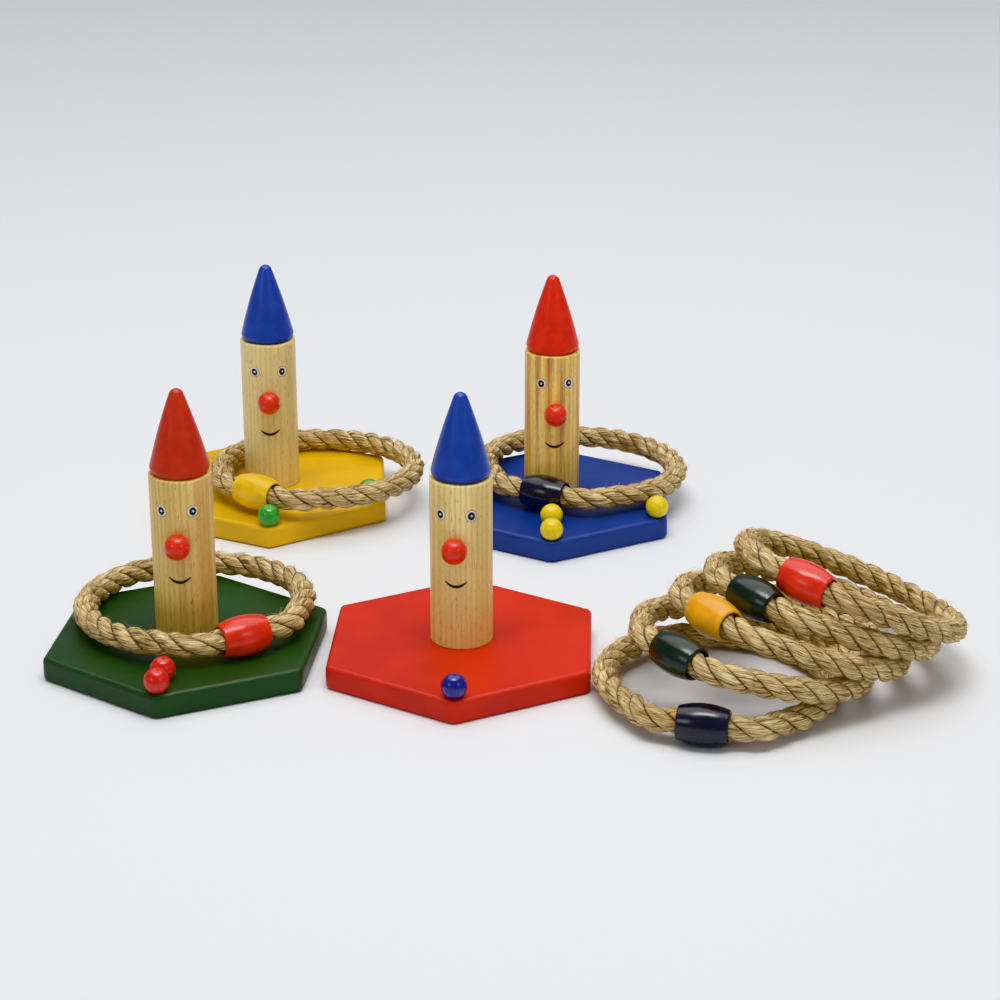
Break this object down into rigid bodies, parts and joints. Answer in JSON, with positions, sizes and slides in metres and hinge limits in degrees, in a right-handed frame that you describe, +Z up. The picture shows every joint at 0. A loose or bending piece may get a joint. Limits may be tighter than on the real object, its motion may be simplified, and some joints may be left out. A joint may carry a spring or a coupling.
{
  "type": "ring toss set",
  "caption": "Lawn ring toss game: hexagonal clown-faced peg stands with pointed hats, and rope rings with barrel beads, some over the pegs and the rest in a leaning pile.",
  "frame": {"origin": "on the ground, below the middle of the whole set at rest", "axes": "+X to the right along the front row, +Y away from the front, +Z up"},
  "size_m": [0.4386, 0.3805, 0.1366],
  "materials": {
    "red_paint": "gloss lacquer",
    "blue_paint": "gloss lacquer",
    "green_paint": "satin lacquer",
    "light_green_paint": "gloss lacquer",
    "yellow_paint": "satin lacquer",
    "navy_paint": "gloss lacquer",
    "dark_green_paint": "gloss lacquer",
    "bare_wood": "clear satin",
    "sisal_rope": "rough natural fibre",
    "steel": "zinc plated"
  },
  "bodies": {
    "red_stand": {"red_base": "red_paint", "red_peg": "bare_wood", "red_hat": "blue_paint", "red_hat_dowel": "bare_wood", "red_nose": "red_paint", "red_base_screw": "steel", "red_knob_1": "blue_paint"},
    "green_stand": {"green_base": "green_paint", "green_peg": "bare_wood", "green_hat": "red_paint", "green_hat_dowel": "bare_wood", "green_nose": "red_paint", "green_base_screw": "steel", "green_knob_1": "red_paint", "green_knob_2": "red_paint"},
    "yellow_stand": {"yellow_base": "yellow_paint", "yellow_peg": "bare_wood", "yellow_hat": "blue_paint", "yellow_hat_dowel": "bare_wood", "yellow_nose": "red_paint", "yellow_base_screw": "steel", "yellow_knob_1": "light_green_paint", "yellow_knob_2": "light_green_paint"},
    "blue_stand": {"blue_base": "blue_paint", "blue_peg": "bare_wood", "blue_hat": "red_paint", "blue_hat_dowel": "bare_wood", "blue_nose": "red_paint", "blue_base_screw": "steel", "blue_knob_1": "yellow_paint", "blue_knob_2": "yellow_paint", "blue_knob_3": "yellow_paint"},
    "green_peg_ring": {"green_peg_ring_rope": "sisal_rope", "green_peg_ring_bead": "red_paint"},
    "yellow_peg_ring": {"yellow_peg_ring_rope": "sisal_rope", "yellow_peg_ring_bead": "yellow_paint"},
    "blue_peg_ring": {"blue_peg_ring_rope": "sisal_rope", "blue_peg_ring_bead": "navy_paint"},
    "pile_ring_1": {"pile_ring_1_rope": "sisal_rope", "pile_ring_1_bead": "navy_paint"},
    "pile_ring_2": {"pile_ring_2_rope": "sisal_rope", "pile_ring_2_bead": "dark_green_paint"},
    "pile_ring_3": {"pile_ring_3_rope": "sisal_rope", "pile_ring_3_bead": "yellow_paint"},
    "pile_ring_4": {"pile_ring_4_rope": "sisal_rope", "pile_ring_4_bead": "dark_green_paint"},
    "pile_ring_5": {"pile_ring_5_rope": "sisal_rope", "pile_ring_5_bead": "red_paint"}
  },
  "joints": [
    {"name": "green_stand_slide", "type": "slide", "parent": "red_stand", "child": "green_stand", "axis": [-1, 0, 0], "range_m": [0, 0.25]},
    {"name": "yellow_stand_slide", "type": "slide", "parent": "red_stand", "child": "yellow_stand", "axis": [-0.7071, 0.7071, 0], "range_m": [0, 0.25]},
    {"name": "blue_stand_slide", "type": "slide", "parent": "red_stand", "child": "blue_stand", "axis": [0.7071, 0.7071, 0], "range_m": [0, 0.25]},
    {"name": "green_peg_ring_lift", "type": "slide", "parent": "green_stand", "child": "green_peg_ring", "axis": [0, 0, 1], "range_m": [0, 0.14]},
    {"name": "yellow_peg_ring_lift", "type": "slide", "parent": "yellow_stand", "child": "yellow_peg_ring", "axis": [0, 0, 1], "range_m": [0, 0.14]},
    {"name": "blue_peg_ring_lift", "type": "slide", "parent": "blue_stand", "child": "blue_peg_ring", "axis": [-0.0636, -0.1429, 0.9877], "range_m": [0, 0.14]},
    {"name": "pile_ring_1_lift", "type": "slide", "parent": "red_stand", "child": "pile_ring_1", "axis": [0, 0, 1], "range_m": [0, 0.08]},
    {"name": "pile_ring_2_lift", "type": "slide", "parent": "pile_ring_1", "child": "pile_ring_2", "axis": [0, 0, 1], "range_m": [0, 0.08]},
    {"name": "pile_ring_3_lift", "type": "slide", "parent": "pile_ring_2", "child": "pile_ring_3", "axis": [0, 0, 1], "range_m": [0, 0.08]},
    {"name": "pile_ring_4_lift", "type": "slide", "parent": "pile_ring_3", "child": "pile_ring_4", "axis": [0, 0, 1], "range_m": [0, 0.08]},
    {"name": "pile_ring_5_lift", "type": "slide", "parent": "pile_ring_4", "child": "pile_ring_5", "axis": [0, 0, 1], "range_m": [0, 0.08]}
  ]
}
